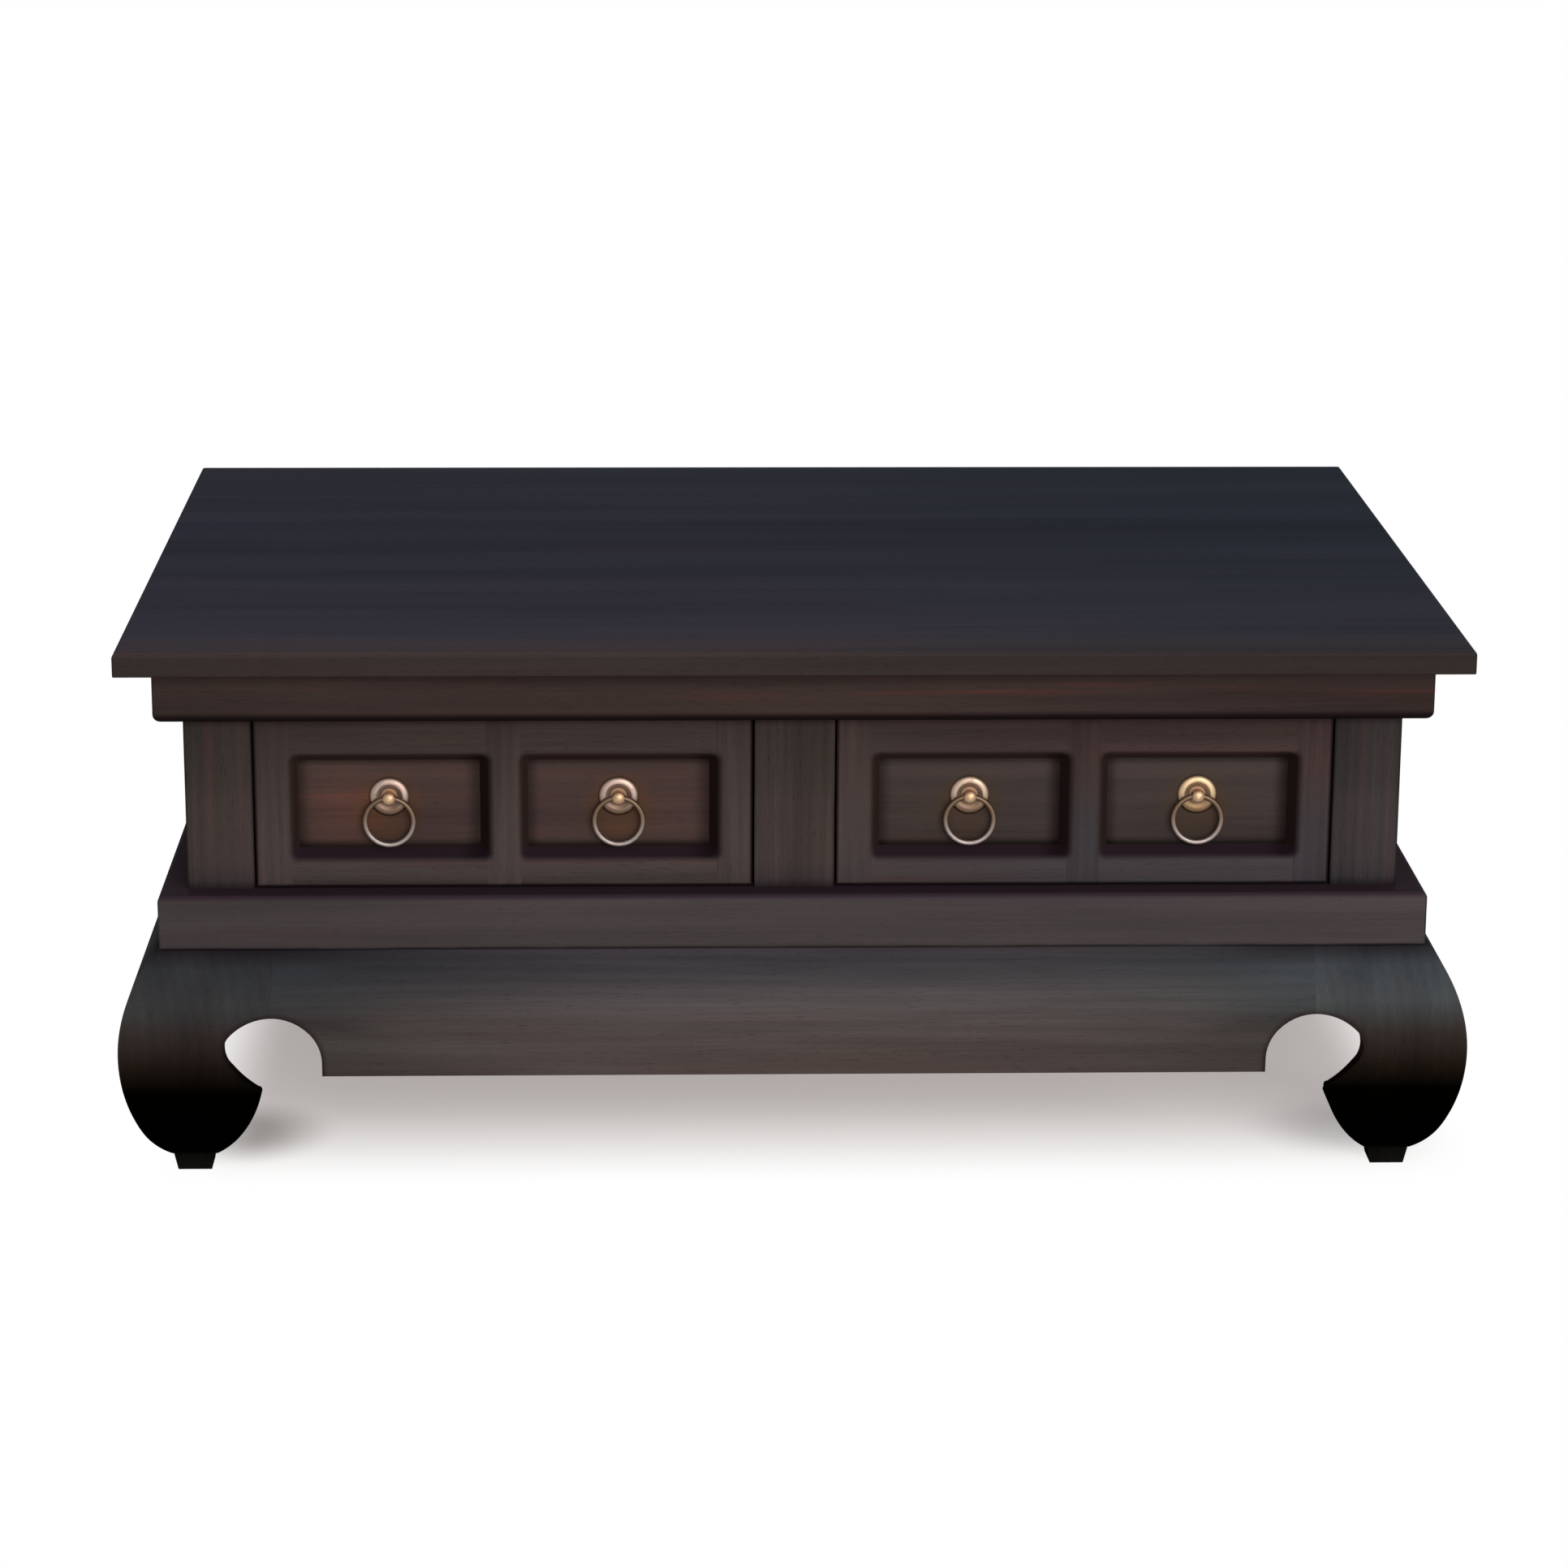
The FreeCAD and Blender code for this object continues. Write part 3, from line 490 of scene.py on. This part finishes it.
waistFinish = dict(darkFinish, **{
    "dark": tone(45, 38, 41),
    "middle": tone(61, 53, 56),
    "light": tone(73, 64, 66),
    "streak": tone(76, 52, 52),
    # painted shade on the top ledge, under the drawers
    "ledge": tone(50, 39, 46),
    "ledgeReach": 5.5 * mm,
    "ledgeFull": 0.3,              # share of the reach that is dark all over
    # painted light and shade, from the left end of the table to the right
    "endTint": [(0.0, (0.93, 0.99, 0.93, 1)), (1.0, (1.08, 1.16, 1.1, 1))],
})


# Painted shade on the waist's top ledge
def shadeLedge(shader, place, colour, finish):
    reach = finish["ledgeReach"]
    share = shader.step(place[2], waistTop - reach, waistTop - finish["ledgeFull"] * reach)
    return shader.blend(share, colour * shader.ramp(fromLeft(place), finish["endTint"]), finish["ledge"])


# Posts and muntins: painted shade darkens them towards the cornice and at the foot
postFinish = dict(darkFinish, **{
    "dark": tone(38, 32, 31),
    "middle": tone(55, 48, 46),
    "light": tone(69, 59, 56),
    "storeyShade": [
        (0.0, (0.45, 0.42, 0.48, 1)),
        (0.05, (0.9, 0.9, 0.98, 1)),
        (0.15, (1.06, 1.04, 1.05, 1)),
        (0.5, (1.0, 0.98, 0.98, 1)),
        (0.62, (0.85, 0.86, 0.84, 1)),
        (0.94, (0.72, 0.72, 0.7, 1)),
        (1.0, (0.5, 0.44, 0.42, 1)),
    ],
    "endTint": [                   # painted light and shade, from the left end of the table to the right
        (0.0, (1.0, 1.02, 1.04, 1)),
        (0.5, (1.0, 1.01, 1.03, 1)),
        (1.0, (0.88, 0.99, 1.1, 1)),
    ],
})

muntinFinish = dict(postFinish, **{
    "dark": tone(42, 35, 33),
    "middle": tone(62, 54, 51),
    "light": tone(78, 66, 61),
})


def shadeStorey(shader, place, colour, finish):
    rise = (place[2] - waistTop) / (corniceLow - waistTop)
    tint = shader.ramp(fromLeft(place), finish["endTint"])
    if "footTint" in finish:
        low = shader.ramp(fromLeft(place), finish["footTint"])
        tint = shader.blend(shader.step(rise, *finish["footFade"]), low, tint)
    return colour * shader.ramp(rise, finish["storeyShade"]) * tint


# Legs and aprons are stained as one, brown below; a painted reflection makes them cool at the top, and
# painted shade makes the hooves black
standFinish = dict(darkFinish, **{
    "dark": tone(56, 49, 47),
    "middle": tone(72, 65, 62),
    "light": tone(85, 76, 72),
    "streak": tone(80, 60, 54),
    "streakShare": 0.18,
    "arrisShare": 0.0,
    "legTones": [                  # by height, as a share of the stand's
        (0.0, tone(20, 20, 19)),
        (0.075, tone(12, 12, 11)),
        (0.1, tone(1, 1, 1)),
        (0.41, tone(1, 1, 0)),
        (0.53, tone(25, 19, 15)),
        (0.66, tone(43, 37, 34)),
        (0.8, tone(57, 58, 59)),
        (0.93, tone(53, 55, 58)),
        (1.0, tone(34, 30, 33)),
    ],
    "apronTones": [
        (0.0, tone(66, 57, 55)),
        (0.5, tone(75, 66, 64)),
        (0.65, tone(81, 73, 71)),
        (0.78, tone(81, 75, 74)),
        (0.94, tone(62, 60, 63)),
        (1.0, tone(62, 57, 60)),
    ],
    "seamReach": 120 * mm,         # of the legs' tone into the aprons, high up
    "endReach": 300 * mm,          # of the darker ends of the aprons
    "endShade": (0.64, 0.69, 0.69, 1),
    "sideShade": [                 # painted shade on the cool band of painted reflection, from the left end to the right
        (0.0, (0.72, 0.71, 0.72, 1)),
        (0.22, (0.78, 0.78, 0.82, 1)),
        (0.45, (0.96, 0.98, 1.01, 1)),
        (0.75, (1.07, 1.1, 1.12, 1)),
        (1.0, (1.08, 1.18, 1.22, 1)),
    ],
    "coatStart": 88 * mm,
    "coatEnd": 128 * mm,
    "crown": 144.7 * mm,           # of the arches
    "legArch": (40 * mm, 28 * mm),
    "apronArch": (41 * mm, 37 * mm),
    # painted shade round the edges of the arches
    "archGlaze": tone(34, 25, 23),
    "archReach": 6 * mm,
    "archShare": 0.7,
    "seamFade": (0.62, 0.76),      # up the stand: where the seam's soft change of tone begins
    "sideFade": (0.62, 0.84),      # where the cool band of painted reflection begins
    "glazeFade": (0.42, 0.62),     # and where the painted shade round the arches turns from black
})


# Along the run, how far a place is past the seam: on the leg more than 0, on the apron less
def pastSeam(shader, place):
    aside = shader.math("ABSOLUTE", place[0]) - seamX
    beyond = shader.math("ABSOLUTE", place[1]) - seamY
    return shader.math("MINIMUM", aside, beyond)


# 1 at the edge of an arch, and 0 further off than the reach of the painted shade
def archEdge(shader, place, finish):
    past = pastSeam(shader, place)
    onLeg = shader.math("GREATER_THAN", past, 0.0)
    legWide, legTall = finish["legArch"]
    apronWide, apronTall = finish["apronArch"]
    legRise = (place[2] - (finish["crown"] - legTall)) / legTall
    apronRise = shader.math("MAXIMUM", place[2] - (finish["crown"] - apronTall), 0.0) / apronTall
    rise = apronRise + onLeg * (legRise - apronRise)
    across = shader.math("ABSOLUTE", past) / ((legWide + apronWide) / 2)
    gap = (shader.length(across, rise) - 1) * legWide
    return 1 - shader.step(gap, 0.0, finish["archReach"])


def stainAndShadeStand(shader, place, colour, finish):
    rise = place[2] / standTop
    past = pastSeam(shader, place)
    low = 1 - shader.step(rise, *finish["seamFade"])
    soft = shader.math("MAXIMUM", low, shader.step(past, 0.0, -finish["seamReach"]))
    onApron = shader.math("LESS_THAN", past, 0.0) * soft
    ends = shader.blend(shader.step(past, 0.0, -finish["endReach"]), finish["endShade"], plainWhite)
    apronStain = ends * shader.ramp(rise, finish["apronTones"])
    standTone = shader.blend(onApron, shader.ramp(rise, finish["legTones"]), apronStain)
    shaded = standTone * shader.ramp(fromLeft(place), finish["sideShade"])
    standTone = shader.blend(shader.step(rise, *finish["sideFade"]), standTone, shaded)
    glaze = shader.blend(shader.step(rise, *finish["glazeFade"]), plainBlack, finish["archGlaze"])
    standTone = shader.blend(archEdge(shader, place, finish) * finish["archShare"], standTone, glaze)
    return colour / finish["middle"] * standTone


# Drawer fronts and their panels
drawerFace = {
    "windowMiddle": pullMiddle.x - frontMiddle.x,     # from the drawer's middle to a window's
    "panelLap": 6 * mm,       # of each panel behind the frame
    "slope": 7 * mm,          # width of the slopes round a window
    "slopeStart": 0.45,       # share of the slope where the painted shade begins to thin
    "footShare": 0.5,         # of the slope, each way from the panel's lower edge
    "rightShare": 3,          # slopes' widths over which the right side's shade ends
    "shadeOver": 3 * mm,      # of the painted shade on the face, past the slopes
    "shadeRight": 1.8 * mm,   # it lies further out to the right, and further down
    "shadeDown": 1.6 * mm,
    "edgeReach": 3 * mm,      # of the painted shade in the gaps round the face's outer edge
    "faceSkin": 0.5 * mm,     # behind the face, where that painted shade begins to thin
    "warmAside": 38 * mm,     # from each pull outward, where the panel's painted light is warmest
    "warmDrop": 14 * mm,
    "warmReach": 52 * mm,
    "wornDrop": 10 * mm,      # round each pull hands have worn the wood to an olive brown
    "wornReach": (18 * mm, 36 * mm),
}

frontFinish = dict(muntinFinish, **{
    "storeyShade": [
        (0.0, (1.12, 1.12, 1.2, 1)),
        (0.25, (1.08, 1.08, 1.14, 1)),
        (0.5, (1.0, 0.98, 1.0, 1)),
        (0.8, (0.8, 0.78, 0.8, 1)),
        (0.93, (0.7, 0.66, 0.67, 1)),
        (1.0, (0.55, 0.46, 0.46, 1)),
    ],
    "slopeGlaze": tone(38, 27, 24),
    "footGlaze": tone(36, 25, 31),     # painted shade on the lower slope, which lies in more light
    "rightShade": 0.5,                 # of the slopes to the right
    # painted light and shade, from the left end of the table to the right
    "endTint": [
        (0.0, (1.0, 1.02, 1.04, 1)),
        (0.5, (1.0, 1.0, 1.02, 1)),
        (0.72, (1.04, 0.93, 0.98, 1)),
    ],
    # painted light and shade low on the fronts, from the left end to the right
    "footTint": [
        (0.0, (1.02, 1.02, 1.06, 1)),
        (0.5, (1.0, 1.01, 1.03, 1)),
        (0.72, (0.76, 0.88, 1.03, 1)),
    ],
    "footFade": (0.3, 0.75),           # up the storey, from the foot's tint to the other
})

leftPanelFinish = dict(darkFinish, **{
    "dark": tone(50, 39, 38),
    "middle": tone(63, 50, 48),
    "light": tone(75, 59, 54),
    "streak": tone(90, 54, 46),
    "streakShare": 0.2,
    "fibre": (9, 300),
    "arrisShare": 0.0,
    "warm": tone(84, 58, 51),
    "warmShare": (0.8, 0.15),      # for the drawer's left window and its right one
    "worn": (1.35, 1.1, 0.72, 1),
    "wornShare": 0.8,
    "sideDark": {                  # painted shadow: how dark each side of a panel is, and how far in
        "left": (0.5, 11 * mm),
        "right": (0.55, 15 * mm),
        "low": (0.8, 8 * mm),
        "high": (0.5, 6 * mm),
    },
})

# painted shade: the right drawer's panels are darker and less warm than the left's
rightPanelFinish = dict(leftPanelFinish, **{
    "dark": tone(44, 37, 36),
    "middle": tone(57, 49, 48),
    "light": tone(69, 58, 55),
    "streak": tone(74, 52, 46),
    "warm": tone(62, 51, 46),
    "warmShare": (0.5, 0.3),
    "wornShare": 0.55,
    "sideDark": dict(leftPanelFinish["sideDark"], right=(0.75, 14 * mm)),
})


# -1 at a drawer's left window and 1 at its right one
def windowTurn(shader, place):
    outward = shader.math("ABSOLUTE", place[0]) - frontMiddle.x
    return shader.math("SIGN", place[0]) * shader.math("SIGN", outward)


# How far a place is from the middle of the nearest drawer window: to the right more than 0
def windowSide(shader, place):
    outward = shader.math("ABSOLUTE", place[0]) - frontMiddle.x
    fromWindow = shader.math("ABSOLUTE", outward) - drawerFace["windowMiddle"]
    return windowTurn(shader, place) * fromWindow


def windowOffset(shader, place):
    return shader.math("ABSOLUTE", windowSide(shader, place))


# On the drawer fronts the stiles stand and the rails lie
def stilesStand(shader, place):
    halfWindow = panelHigh.x - pullMiddle.x
    return shader.math("GREATER_THAN", windowOffset(shader, place), halfWindow), 2


# How far inside a window's panel a place is from each of its four edges: beyond an edge less than 0
def windowGaps(shader, place):
    halfWide = panelHigh.x - pullMiddle.x - drawerFace["panelLap"]
    side = windowSide(shader, place)
    low = panelLow.z + drawerFace["panelLap"]
    high = panelHigh.z - drawerFace["panelLap"]
    return {"left": side + halfWide, "right": halfWide - side, "low": place[2] - low, "high": high - place[2]}


# Painted shade in the window recesses and in the gaps round each front
def shadeDrawerFront(shader, place, colour, finish):
    colour = shadeStorey(shader, place, colour, finish)
    gaps = windowGaps(shader, place)
    aside = shader.math("MINIMUM", gaps["left"], gaps["right"] + 2 * drawerFace["shadeRight"])
    upright = shader.math("MINIMUM", gaps["high"], gaps["low"] + 2 * drawerFace["shadeDown"])
    beyond = shader.length(shader.math("MINIMUM", aside, 0.0), shader.math("MINIMUM", upright, 0.0))
    slope = drawerFace["slope"]
    share = 1 - shader.step(beyond, drawerFace["slopeStart"] * slope, slope + drawerFace["shadeOver"])
    footReach = drawerFace["footShare"] * slope
    foot = 1 - shader.step(gaps["low"], -footReach, footReach)
    glaze = shader.blend(foot, finish["slopeGlaze"], finish["footGlaze"])
    clear = shader.step(gaps["right"], 0.0, drawerFace["rightShare"] * slope)
    right = finish["rightShade"] + (1 - finish["rightShade"]) * clear
    colour = shader.blend(share, colour, glaze * right)
    aside = frontHalf.x - shader.math("ABSOLUTE", shader.math("ABSOLUTE", place[0]) - frontMiddle.x)
    upright = frontHalf.z - shader.math("ABSOLUTE", place[2] - frontMiddle.z)
    outer = 1 - shader.step(shader.math("MINIMUM", aside, upright), 0.0, drawerFace["edgeReach"])
    atFace = 1 - shader.step(place[1] - frontLow.y, drawerFace["faceSkin"], drawerFace["edgeReach"])
    return shader.blend(outer * atFace, colour, finish["glaze"])


# Painted warm light beside each pull, wear round it, and painted shadow along the panel's sides
def lightShadeAndWearPanel(shader, place, colour, finish):
    fromMiddle = shader.math("ABSOLUTE", shader.math("ABSOLUTE", place[0]) - frontMiddle.x)
    aside = fromMiddle - (drawerFace["windowMiddle"] + drawerFace["warmAside"])
    rise = place[2] - (pullLevel - drawerFace["warmDrop"])
    leftShare, rightShare = finish["warmShare"]
    onLeft = shader.math("LESS_THAN", windowTurn(shader, place), 0.0)
    warm = 1 - shader.step(shader.length(aside, rise), 0.0, drawerFace["warmReach"])
    warm = warm * (rightShare + (leftShare - rightShare) * onLeft)
    colour = shader.blend(warm, colour, colour / finish["middle"] * finish["warm"])
    worn = shader.length(windowSide(shader, place), place[2] - (pullLevel - drawerFace["wornDrop"]))
    worn = (1 - shader.step(worn, *drawerFace["wornReach"])) * finish["wornShare"]
    colour = shader.blend(worn, colour, colour * finish["worn"])
    lightness = 1.0
    for side, gap in windowGaps(shader, place).items():
        dark, reach = finish["sideDark"][side]
        lightness = lightness * (1 - dark * (1 - shader.step(gap, 0.0, reach)))
    return colour * lightness


# The distance from the axis of the nearest pull
def pullRadius(shader, place):
    return shader.length(windowOffset(shader, place), place[2] - pullLevel)


# Bare wood inside, where no stain was brushed
innerFinish = dict(darkFinish, **{
    "dark": tone(124, 84, 60),
    "middle": tone(158, 114, 84),
    "light": tone(184, 140, 106),
    "streak": tone(146, 88, 62),
    "streakShare": 0.3,
    "poreTone": tone(88, 56, 40),
    "poreShare": 0.5,
    "arris": tone(110, 74, 54),
    "arrisShare": 0.3,
    "roughness": 0.68,
    "coat": 0.0,
})


# Each row: the start of the nodes' names, their finish, what is done over the grain, and its second way
woodwork = [
    ("top_panel", topFinish, shadeBoards, None),
    ("cornice_", corniceFinish, shadeCorniceFoot, None),
    ("waist_cross_rail", innerFinish, None, None),
    ("waist_", waistFinish, shadeLedge, None),
    ("post_", postFinish, shadeStorey, None),
    ("front_muntin", muntinFinish, shadeStorey, None),
    ("back_muntin", muntinFinish, shadeStorey, None),
    ("side_panel_", postFinish, shadeStorey, None),
    ("back_panels", postFinish, shadeStorey, None),
    ("apron_", standFinish, stainAndShadeStand, None),
    ("leg_", standFinish, stainAndShadeStand, None),
    ("foot_pads", standFinish, stainAndShadeStand, None),
    ("drawer_left_front", frontFinish, shadeDrawerFront, stilesStand),
    ("drawer_right_front", frontFinish, shadeDrawerFront, stilesStand),
    ("drawer_left_panels", leftPanelFinish, lightShadeAndWearPanel, None),
    ("drawer_right_panels", rightPanelFinish, lightShadeAndWearPanel, None),
]
metalEnds = ("rosettes", "ring_posts", "post_nuts", "screws")
metalNodes = [name for name in nodes if name.endswith(metalEnds) or name.startswith("ring_")]


def findWood(name):
    for start, finish, colourWork, ways in woodwork:
        if name.startswith(start):
            return finish, colourWork, ways
    return innerFinish, None, None


for name in sorted(nodes):
    if name not in metalNodes:
        finish, colourWork, ways = findWood(name)
        dress(name, paintWood(name, finish, seeds[name], colourWork, ways))
print("wood painted")


# Old brass: a champagne plate, brown in its dish, and a duller ring
brassFinish = {
    "plate": tone(164, 142, 131),
    "gilt": tone(184, 158, 126),       # the plates to the right have kept more of their yellow
    "giltStart": 0.05,
    "giltEnd": 0.34,
    "plateFootShade": (0.42, 0.36, 0.3, 1),
    "footFade": (-13 * mm, 4 * mm),    # from the pull's level: painted shade darkens the plate below it
    "recess": tone(150, 120, 98),
    "dishEdge": (0.38, 0.58),          # shares of the plate's radius, from the dish to its hill
    "rimStart": 0.86,
    "boss": tone(176, 146, 116),
    "bossFace": 0.6,                   # share of the boss's radius that has its own tone
    "ring": tone(146, 134, 130),
    "rubbed": (-40 * mm, -10 * mm),    # from the pull's level: the ring is brighter low down
    "tarnish": tone(104, 84, 68),
    "tarnishSteps": (0.5, 0.75),
    "tarnishShare": 0.3,
    "cloudScale": 160,
    "cloudMiddle": 0.4,
    "gritScale": 900,
    "roughness": 0.46,
    "roughnessSpread": 0.25,
    "turnedPitch": 0.55 * mm,
    "gritRelief": 0.7,
    "turnedRelief": 0.15,
    "relief": 0.04 * mm,
    "reliefStrength": 0.6,
}


def paintBrass(name, seed, colourOf):
    shader = Shader(bpy.data.materials.new("brass_" + name))
    place = shader.place()
    x, y, z = [value * brassFinish["cloudScale"] for value in place]
    cloud = shader.noise(shader.join(x + seed, y, z), 3.0, 0.6)
    x, y, z = [value * brassFinish["gritScale"] for value in place]
    grit = shader.noise(shader.join(x, y + seed, z), 2.0)
    tarnished = shader.step(cloud, *brassFinish["tarnishSteps"]) * brassFinish["tarnishShare"]
    colour = shader.blend(tarnished, colourOf(shader, place), brassFinish["tarnish"])
    cloudy = cloud - brassFinish["cloudMiddle"]
    roughness = brassFinish["roughness"] + brassFinish["roughnessSpread"] * cloudy
    turned = shader.math("SINE", pullRadius(shader, place) * (2 * math.pi / brassFinish["turnedPitch"]))
    relief = {
        "Height": brassFinish["gritRelief"] * grit + brassFinish["turnedRelief"] * turned,
        "Distance": brassFinish["relief"],
        "Strength": brassFinish["reliefStrength"],
    }
    bump = shader.node("Bump", {}, relief)
    return shader.finish({"Base Color": colour, "Metallic": 1.0, "Roughness": roughness, "Normal": bump})


# Brown in the dish, bright on the hill round it, tarnished at the rim, and darker below with painted shade
def plateColour(shader, place):
    reach = pullRadius(shader, place) / ((plateHigh.z - plateLow.z) / 2)
    metal = shader.blend(shader.step(place[0], brassFinish["giltStart"], brassFinish["giltEnd"]),
                         brassFinish["plate"], brassFinish["gilt"])
    metal = shader.blend(shader.step(reach, *brassFinish["dishEdge"]), brassFinish["recess"], metal)
    metal = shader.blend(shader.step(reach, brassFinish["rimStart"], 1.0), metal, brassFinish["tarnish"])
    low = 1 - shader.step(place[2] - pullLevel, *brassFinish["footFade"])
    return shader.blend(low, metal, metal * brassFinish["plateFootShade"])


def bossColour(shader, place):
    boss = brassFinish["boss"]
    stops = [(0.0, boss), (brassFinish["bossFace"], boss), (1.0, brassFinish["recess"])]
    return shader.ramp(pullRadius(shader, place) / ((postHigh.z - postLow.z) / 2), stops)


# The ring is rubbed brighter low down, where fingers take it
def ringColour(shader, place):
    rubbed = 1 - shader.step(place[2] - pullLevel, *brassFinish["rubbed"])
    return shader.blend(rubbed, brassFinish["tarnish"], brassFinish["ring"])


steelFinish = {
    "light": tone(176, 178, 180),
    "dark": tone(120, 120, 122),
    "cloudScale": 300,
    "roughness": 0.38,
    "roughnessSpread": 0.2,
    "relief": 0.03 * mm,
}


def paintSteel(name, seed):
    shader = Shader(bpy.data.materials.new("steel_" + name))
    place = shader.place()
    x, y, z = [value * steelFinish["cloudScale"] for value in place]
    cloud = shader.noise(shader.join(x + seed, y, z), 3.0)
    colour = shader.blend(cloud, steelFinish["dark"], steelFinish["light"])
    bump = shader.node("Bump", {}, {"Height": cloud, "Distance": steelFinish["relief"]})
    roughness = steelFinish["roughness"] + steelFinish["roughnessSpread"] * (cloud - 0.5)
    return shader.finish({"Base Color": colour, "Metallic": 1.0, "Roughness": roughness, "Normal": bump})


for name in metalNodes:
    if name.endswith(("post_nuts", "screws")):
        dress(name, paintSteel(name, seeds[name]))
    elif name.endswith("rosettes"):
        dress(name, paintBrass(name, seeds[name], plateColour))
    elif name.endswith("ring_posts"):
        dress(name, paintBrass(name, seeds[name], bossColour))
    else:
        dress(name, paintBrass(name, seeds[name], ringColour))
print("metal painted")
